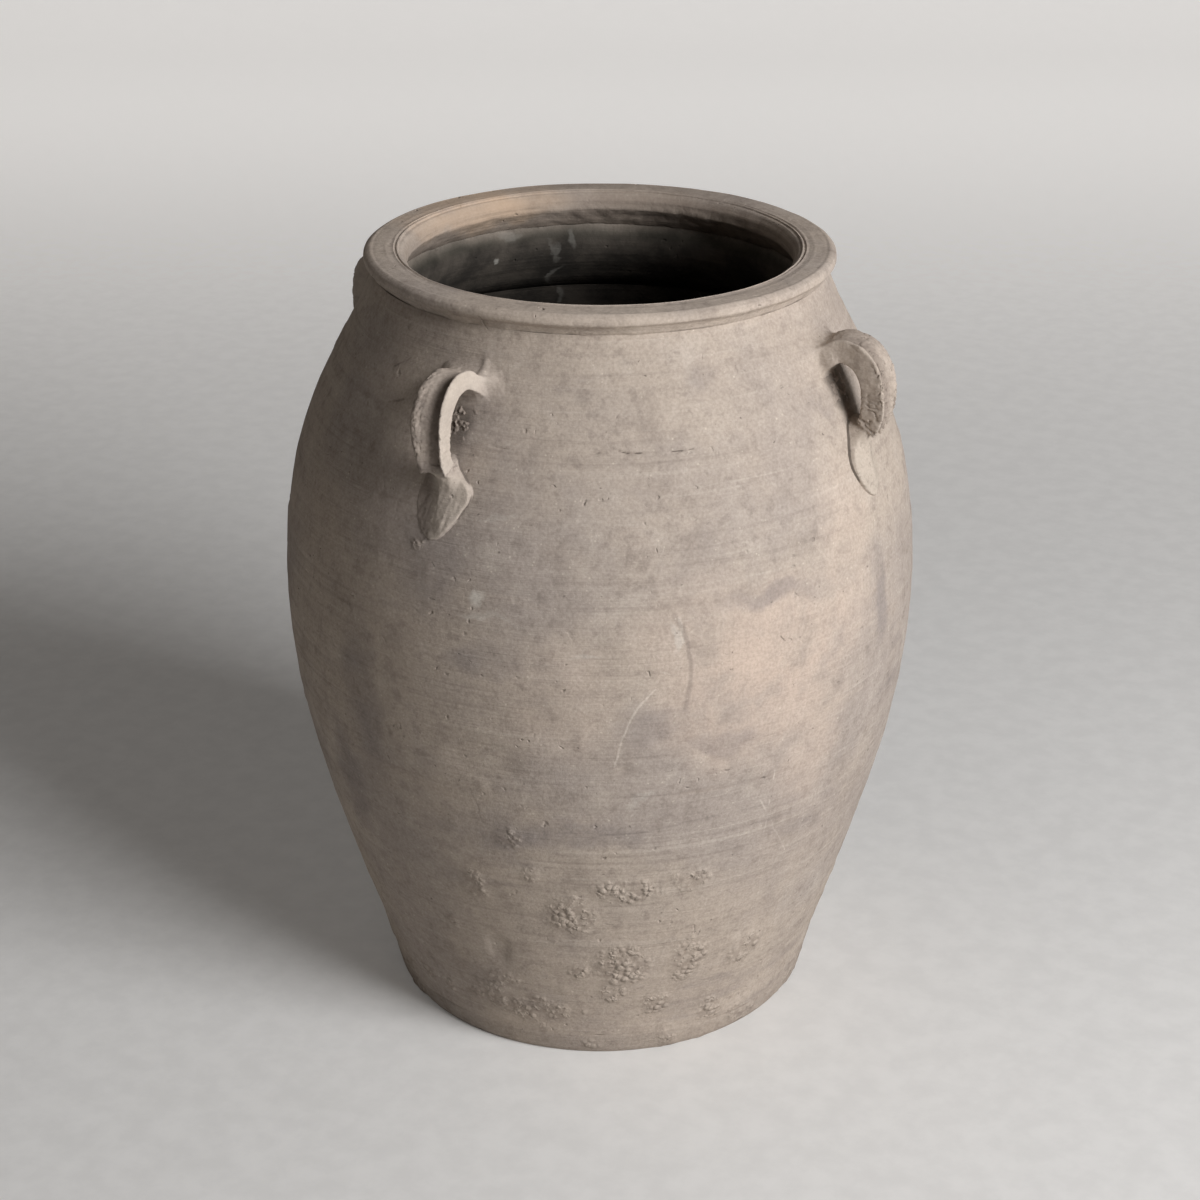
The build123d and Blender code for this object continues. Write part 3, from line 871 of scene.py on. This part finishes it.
class Graph:
    """Builds a material's nodes."""

    def __init__(self, name):
        self.material = bpy.data.materials.new(name)
        self.material.use_nodes = True
        self.tree = self.material.node_tree
        self.tree.nodes.clear()
        self.shader = self.node("BsdfPrincipled", {})
        self.node("OutputMaterial", {"Surface": self.shader.outputs[0]})
        self.place = self.node("TexCoord", {}).outputs["Object"]

    def feed(self, socket, value):
        if isinstance(value, bpy.types.NodeSocket):
            self.tree.links.new(value, socket)
        else:
            socket.default_value = value

    def node(self, kind, inputs, **settings):
        """A new node of a kind, with its settings and what its inputs take."""
        made = self.tree.nodes.new("ShaderNode" + kind)
        for name, value in settings.items():
            setattr(made, name, value)
        for socket, value in inputs.items():
            self.feed(made.inputs[socket], value)
        return made

    def math(self, operation, first, second=0.0):
        return self.node("Math", {0: first, 1: second}, operation=operation).outputs[0]

    def vector(self, operation, first, second=(0, 0, 0)):
        made = self.node("VectorMath", {0: first, 1: second}, operation=operation)
        return made.outputs["Value" if operation in ("LENGTH", "DOT_PRODUCT") else "Vector"]

    def noise(self, scale, detail, roughness, stretch=None):
        place = self.vector("MULTIPLY", self.place, stretch) if stretch else self.place
        inputs = {"Vector": place, "Scale": scale, "Detail": detail, "Roughness": roughness}
        return self.node("TexNoise", inputs).outputs["Fac"]

    def cells(self, scale, place=None):
        inputs = {"Vector": place or self.place, "Scale": scale}
        return self.node("TexVoronoi", inputs).outputs["Distance"]

    def ease(self, value, low, high, to_low=0.0, to_high=1.0):
        inputs = {"Value": value, "From Min": low, "From Max": high,
                  "To Min": to_low, "To Max": to_high}
        return self.node("MapRange", inputs, interpolation_type="SMOOTHSTEP").outputs["Result"]

    def mix(self, share, first, second, blend="MIX"):
        inputs = {"Factor": share, 6: first, 7: second}
        return self.node("Mix", inputs, data_type="RGBA", blend_type=blend).outputs[2]

    def line(self, place, points, half):
        """1 on a line drawn through points of the wall, 0 a half width away from it."""
        least = None
        for start, end in zip(points[:-1], points[1:]):
            run = end - start
            off = self.vector("SUBTRACT", place, tuple(start))
            part = self.vector("DOT_PRODUCT", off, tuple(run / run.length_squared))
            part = self.math("MINIMUM", self.math("MAXIMUM", part, 0.0), 1.0)
            part = self.node("VectorMath", {0: tuple(run), "Scale": part}, operation="SCALE")
            away = self.vector("LENGTH", self.vector("SUBTRACT", off, part.outputs["Vector"]))
            least = away if least is None else self.math("MINIMUM", least, away)
        return self.ease(least, half, half * 0.25)

    def share(self, name):
        return self.node("Attribute", {}, attribute_name=name).outputs["Fac"]

    def warped(self, scale, amount):
        """The place, pushed about by noise, so that patches have ragged edges."""
        inputs = {"Vector": self.place, "Scale": scale, "Detail": 5}
        pushed = self.node("TexNoise", inputs).outputs["Color"]
        pushed = self.vector("SUBTRACT", pushed, (0.5, 0.5, 0.5))
        pushed = self.vector("MULTIPLY", pushed, (amount, amount, amount))
        return self.vector("ADD", self.place, pushed)

    def patch(self, place, centre, across, up):
        """1 in an upright oval patch round a point, sized in millimetres, 0 away from it."""
        inputs = {"Vector": self.vector("SUBTRACT", place, tuple(centre)),
                  "Angle": -math.atan2(centre.y, centre.x)}
        turn = self.node("VectorRotate", inputs, rotation_type="Z_AXIS")
        sizes = (1 / PATCH_DEPTH, 1 / (across * MM), 1 / (up * MM))
        sized = self.vector("MULTIPLY", turn.outputs[0], sizes)
        return self.ease(self.vector("LENGTH", sized), 1.5, 0.5)


# Tints on the wall, each as pixel, half width and half height in millimetres, strength
WARM_PATCHES = [
    ((790, 640), 34, 26, 0.6), ((740, 710), 34, 26, 0.5), ((810, 730), 22, 40, 0.4),
    ((700, 640), 30, 24, 0.3), ((560, 700), 24, 30, 0.2), ((850, 560), 16, 44, 0.35),
]
# Grey stains; the patch at pixel (352, 780), low on the left edge, is painted shade
GREY_AND_SHADE_PATCHES = [
    ((770, 600), 24, 4, 0.5), ((880, 600), 7, 24, 0.55), ((480, 660), 18, 9, 0.45),
    ((585, 830), 20, 7, 0.45), ((520, 840), 18, 7, 0.45), ((650, 720), 14, 8, 0.35),
    ((730, 740), 16, 5, 0.4), ((430, 560), 14, 20, 0.3), ((360, 700), 10, 40, 0.45),
    ((352, 780), 9, 30, 0.5), ((700, 380), 9, 5, 0.3), ((820, 400), 12, 8, 0.3),
    ((500, 830), 26, 12, 0.3),
]
LIME_PATCHES = [
    ((480, 597), 4, 3.4, 0.8), ((488, 615), 12, 1.6, 0.45), ((680, 630), 1.6, 6, 0.45),
    ((497, 520), 7, 1.2, 0.3), ((640, 800), 6, 1.2, 0.25), ((585, 655), 5, 1.2, 0.25),
]
# Marks on the inner wall and on the rim, given the same way
INSIDE_PATCHES = [
    ((496, 261), 1.6, 1.4, 0.8), ((506, 230), 7, 1.8, 0.3), ((568, 232), 1.6, 4, 0.25),
    ((556, 252), 1.2, 6, 0.25), ((559, 276), 1.6, 7, 0.35), ((562, 294), 1.8, 4, 0.35),
    ((700, 300), 0.8, 7, 0.4),
]
RIM_PATCHES = [((470, 208), 30, 9, 0.4), ((520, 200), 22, 7, 0.25), ((430, 228), 16, 8, 0.25)]
RIM_SMOKE = [((610, 192), 40, 9, 0.35), ((700, 205), 22, 8, 0.25)]
# Fine scratches and drags: the pixels along them, half width in millimetres, strength
SCRATCHES = [
    ([(655, 690), (647, 698), (638, 708), (630, 720), (624, 734), (619, 750), (614, 767)],
     0.5, 0.5),
    ([(776, 768), (771, 792), (767, 816), (763, 842), (759, 866)], 0.4, 0.6),
    ([(761, 800), (773, 825), (785, 850)], 0.35, 0.35),
    ([(680, 618), (684, 642)], 0.9, 0.5), ([(660, 672), (690, 676)], 0.35, 0.3),
]
DRAGS = [
    ([(675, 615), (683, 628), (688, 645), (691, 668), (689, 692), (685, 710)], 1.3, 0.4),
    ([(596, 836), (640, 833), (690, 822), (730, 812)], 0.8, 0.35),
    ([(388, 402), (403, 399)], 0.6, 0.6), ([(395, 366), (410, 358)], 0.5, 0.6),
    ([(470, 790), (478, 806), (482, 822)], 0.6, 0.5),
]
# Soot and painted shade under the arches: its height, half width and half height in
# millimetres, and how strong it is
ARCH_SOOT_AND_SHADE = (0.334, 8, 10)
SOOT_AND_SHADE_STRENGTH = {"handle_left": 0.9}
COMMON_SOOT_AND_SHADE = 0.65
# The clay that shows through the shoulder as a handle's pad lies inside this radius
PAD_SHOWS = 0.111


def clay(name, tone=1.0, on_handle=False, on_collar=False):
    """Coarse unglazed clay: throwing lines, grit, stains and tints, and painted shade and light,
    over a base tone.
    """
    graph = Graph(name)

    def tint(*values):
        return linear(*[min(255, value * tone) for value in values])

    def both(first, second):
        return graph.math("MULTIPLY", first, second)

    def lay(share, strength, stain):
        """Puts a stain on the colour so far."""
        nonlocal colour
        colour = graph.mix(both(share, strength), colour, stain)

    def lay_marks(marks, find, stain, within=None):
        """Stains a patch round each marked pixel, only within a share if one is given."""
        for pixel, across, up, strength in marks:
            seen = graph.patch(ragged, find(pixel), across, up)
            lay(both(seen, within) if within else seen, strength, stain)

    ease, noise = graph.ease, graph.noise
    ragged = graph.warped(38, 0.03)
    broad = noise(9, 5, 0.6)
    middling = noise(46, 6, 0.62)
    lines = noise(1, 6, 0.62, stretch=(7, 7, 330))
    streaks = noise(1, 5, 0.6, stretch=(16, 16, 95))
    grain = noise(720, 3, 0.6)
    beige, grey = tint(182, 168, 154), tint(168, 156, 146)
    tan, cream, soot = tint(190, 173, 157), tint(203, 191, 178), tint(130, 118, 109)
    colour = graph.mix(ease(broad, 0.38, 0.62), grey, beige)
    lay(ease(middling, 0.52, 0.76), 0.35, cream)
    lay(ease(middling, 0.47, 0.29), 0.32, soot)
    mottle = noise(150, 4, 0.7)
    lay(ease(mottle, 0.5, 0.32), 0.4, soot)
    lay(ease(mottle, 0.55, 0.75), 0.3, cream)
    lay(ease(lines, 0.54, 0.74), 0.32, cream)
    lay(ease(lines, 0.47, 0.29), 0.26, soot)
    lay(ease(streaks, 0.58, 0.78), 0.28, tan)
    lay(ease(noise(7, 3, 0.5), 0.52, 0.7), 0.3, tan)
    # Smoke smudges, in broken level streaks
    smoke = both(ease(streaks, 0.55, 0.3), ease(noise(13, 4, 0.6), 0.5, 0.66))
    lay(smoke, 0.4, tint(126, 117, 114))
    if not on_handle and not on_collar:
        broken = ease(middling, 0.3, 0.62, 0.3, 1.0)
        lay_marks(WARM_PATCHES, on_wall, tint(203, 182, 165), broken)
        # Grey stains, and painted shade low on the left edge
        lay_marks(GREY_AND_SHADE_PATCHES, on_wall, tint(128, 120, 118), broken)
        lay_marks(LIME_PATCHES, on_wall, tint(214, 207, 196), broken)
        shaken = graph.warped(120, 0.0022)
        for stain, marks in ((tint(222, 210, 196), SCRATCHES), (tint(112, 102, 96), DRAGS)):
            for pixels, half, strength in marks:
                places = [on_wall(pixel) for pixel in pixels]
                seen = graph.line(shaken, places, (half + 0.25) * MM)
                lay(both(seen, broken), strength, stain)
        # Soot and painted shade on the wall under each handle's arch
        level, across, up = ARCH_SOOT_AND_SHADE
        for handle_name, handle in HANDLES.items():
            turn, radius = math.radians(handle["angle"]), float(outer(level))
            under = Vector((radius * math.cos(turn), radius * math.sin(turn), level))
            strength = SOOT_AND_SHADE_STRENGTH.get(handle_name, COMMON_SOOT_AND_SHADE)
            lay(graph.patch(ragged, under, across, up), strength, tint(84, 75, 67))
    crust = graph.share("crust")
    # The crusts' tint is paler on each grain and darker between the grains: painted shade that
    # follows the grains' bump
    crusted = ease(graph.cells(290), 0.7, 0.25)
    lay(crust, 0.35, graph.mix(crusted, tint(138, 124, 112), tint(194, 180, 165)))
    # Grit: pale and dark specks
    specks = both(ease(graph.cells(330), 0.2, 0.08), ease(noise(150, 2, 0.5), 0.54, 0.64))
    lay(specks, 0.5, tint(218, 206, 188))
    specks = both(ease(graph.cells(210, ragged), 0.16, 0.06), ease(noise(90, 2, 0.5), 0.54, 0.66))
    lay(specks, 0.6, tint(76, 68, 60))
    colour = graph.mix(ease(grain, 0.3, 0.7, 0.0, 0.2), colour, tint(110, 98, 86), "MULTIPLY")
    if on_handle:
        lay(graph.share("pale"), 0.3, tint(196, 184, 168))
        lay(graph.share("cut"), 0.4, tint(212, 200, 185))
        # Painted shade in the strap's channel, on the leaf's falling side and under the arch
        lay(graph.share("hollow_shade"), 0.5, tint(108, 96, 87))
    # Dark cracks, and on the handles the painted shadow along each leaf's edge
    lay(ease(graph.share("crack"), 0.3, 0.9), 0.7, tint(64, 56, 49))
    # Soot inside the jar, darkened further as painted shade; the handles' pads in there are
    # painted lighter than that, as painted light
    normal = graph.node("TexCoord", {}).outputs["Normal"]
    flat_place = graph.vector("MULTIPLY", graph.place, (1, 1, 0))
    outward = graph.vector("DOT_PRODUCT", normal, graph.vector("NORMALIZE", flat_place))
    height = graph.vector("DOT_PRODUCT", graph.place, (0, 0, 1))
    faces_in = ease(outward, -0.02, -0.12)
    blotches = ease(middling, 0.35, 0.65)
    if on_handle:
        radius = graph.vector("LENGTH", flat_place)
        inside = ease(radius, PAD_SHOWS + 0.5 * MM, PAD_SHOWS - 0.5 * MM)
        # A pad's clay inside the jar, painted lighter so that it shows in the rim's shadow
        soot_and_painted_light = graph.mix(blotches, linear(134, 122, 110), linear(168, 154, 140))
    else:
        # The inner wall: soot, with painted shade making it darker still
        soot_and_painted_light = graph.mix(blotches, linear(38, 35, 31), linear(72, 66, 59))
        soot_and_shade_level = graph.math("ADD", height, both(graph.math("SUBTRACT", broad, 0.5), 0.03))
        inside = both(faces_in, ease(soot_and_shade_level, 0.374, 0.356, 0.0, 0.97))
        green = both(ease(height, 0.352, 0.358), ease(height, 0.368, 0.362))
        soot_and_painted_light = graph.mix(both(green, 0.6), soot_and_painted_light, linear(46, 46, 38))
    colour = graph.mix(inside, colour, soot_and_painted_light)
    if not on_handle:
        lay_marks(INSIDE_PATCHES, on_inside, linear(150, 146, 138), inside)
    if on_collar:
        # Painted shade on the inward-facing bevel at the top of the mouth
        lay(both(faces_in, ease(height, 0.3790, 0.3770)), 0.35, tint(138, 122, 108))
        lay_marks(RIM_PATCHES, on_rim, tint(196, 166, 136))
        lay_marks(RIM_SMOKE, on_rim, tint(116, 104, 94))
    graph.feed(graph.shader.inputs["Base Color"], colour)
    graph.feed(graph.shader.inputs["Roughness"], ease(middling, 0.3, 0.7, 0.97, 0.8))
    graph.shader.inputs["Specular IOR Level"].default_value = 0.2
    # Bump: throwing lines, grit and pits, and the rounded grains of the crusts
    grains = both(ease(graph.cells(290), 0.75, 0.2), ease(noise(110, 3, 0.6), 0.42, 0.56))
    pits = both(ease(graph.cells(140, ragged), 0.2, 0.05), ease(noise(70, 2, 0.5), 0.52, 0.66))
    high = both(lines, 0.8)
    for part, strength in ((streaks, 0.3), (grain, 0.2), (noise(190, 4, 0.65), 0.4),
                           (pits, -0.9), (both(crust, grains), 1.3)):
        high = graph.math("ADD", high, both(part, strength))
    bump = graph.node("Bump", {"Height": high, "Strength": 0.85, "Distance": 0.85 * MM})
    graph.feed(graph.shader.inputs["Normal"], bump.outputs["Normal"])
    return graph.material


# The pieces of the jar

def dress(piece, node, material):
    """Gives a piece its material, and puts it in the place of a CAD node."""
    piece.data.materials.append(material)
    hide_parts(node)
    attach(piece, "root")


dress(base_piece(), "base", clay("clay_base", tone=0.95))
body = wall_piece("jar_body", FLOOR, SEAM, FLOOR, SEAM)
dress(body, "body_wall", clay("clay_wall"))
shoulder = wall_piece("jar_shoulder", SEAM, NECK, SEAM, JOINT_HEIGHT)
dress(shoulder, "shoulder_ring", clay("clay_shoulder"))
dress(collar_piece(), "rim_collar", clay("clay_rim", tone=1.03, on_collar=True))
handle_clay = clay("clay_handle", on_handle=True)
for handle_name in HANDLES:
    dress(handle_piece(handle_name), handle_name, handle_clay)


# Stage and light

# The backdrop: how far back it stands up, its width, bend, height and near edge. To the
# camera it glows a little, and the glow grows between these distances
BACK_DEPTH, BACK_WIDTH, BACK_BEND, BACK_HEIGHT, BACK_NEAR = 3.2, 8.0, 1.0, 5.0, -4.0
FADE_START, FADE_END = 0.3, 2.0
NEAR_GLOW, FAR_GLOW = 0.07, 0.6


def backdrop():
    """A pale floor that sweeps up behind the jar, across the camera's view."""
    turn = CAMERA_TURN.z
    away = Vector((-math.sin(turn), math.cos(turn), 0))
    right = Vector((math.cos(turn), math.sin(turn), 0))
    section = [(BACK_NEAR, 0.0), (BACK_DEPTH - BACK_BEND, 0.0)]
    section += [(BACK_DEPTH - BACK_BEND * (1 - math.sin(rise)), BACK_BEND * (1 - math.cos(rise)))
                for rise in np.linspace(0.05, math.pi / 2, 16)]
    section += [(BACK_DEPTH, BACK_HEIGHT)]
    points = [away * far + right * side + Vector((0, 0, up))
              for far, up in section for side in (-BACK_WIDTH / 2, BACK_WIDTH / 2)]
    faces = [(index, index + 1, index + 3, index + 2) for index in range(0, len(points) - 2, 2)]
    mesh = bpy.data.meshes.new("backdrop")
    mesh.from_pydata(points, [], faces)
    for polygon in mesh.polygons:
        polygon.use_smooth = True
    sheet = bpy.data.objects.new("backdrop", mesh)
    bpy.context.scene.collection.objects.link(sheet)
    graph = Graph("backdrop")
    speckle = graph.ease(graph.noise(60, 4, 0.6), 0.3, 0.7)
    pale = graph.mix(speckle, linear(214, 212, 208), linear(221, 219, 215))
    graph.feed(graph.shader.inputs["Base Color"], pale)
    graph.shader.inputs["Roughness"].default_value = 0.9
    seen = graph.node("LightPath", {}).outputs["Is Camera Ray"]
    far = graph.vector("DOT_PRODUCT", graph.place, tuple(away))
    glow = graph.math("MULTIPLY", seen, graph.ease(far, FADE_START, FADE_END, NEAR_GLOW, FAR_GLOW))
    graph.feed(graph.shader.inputs["Emission Strength"], glow)
    graph.shader.inputs["Emission Color"].default_value = linear(236, 233, 230)
    mesh.materials.append(graph.material)


def soft_light(name, place, size, power, colour):
    """A square lamp that faces the jar's middle."""
    data = bpy.data.lights.new(name, "AREA")
    data.size, data.energy, data.color = size, power, colour
    lamp = bpy.data.objects.new(name, data)
    lamp.location = place
    lamp.rotation_euler = (JAR_MIDDLE - Vector(place)).to_track_quat("-Z", "Y").to_euler()
    bpy.context.scene.collection.objects.link(lamp)


JAR_MIDDLE = Vector((0, 0, 0.2))
WORLD_COLOUR, WORLD_STRENGTH = (1.0, 0.93, 0.88, 1), 0.038

backdrop()
soft_light("key", place=(2.12, -0.39, 1.34), size=1.2, power=74, colour=(0.96, 0.97, 1.0))
soft_light("fill", place=(-0.9, -1.4, 2.4), size=2.0, power=5.0, colour=(1.0, 0.94, 0.89))

world = bpy.data.worlds.new("world")
world.use_nodes = True
background = world.node_tree.nodes["Background"].inputs
background["Color"].default_value = WORLD_COLOUR
background["Strength"].default_value = WORLD_STRENGTH
bpy.context.scene.world = world
bpy.context.scene.view_settings.view_transform = "Standard"
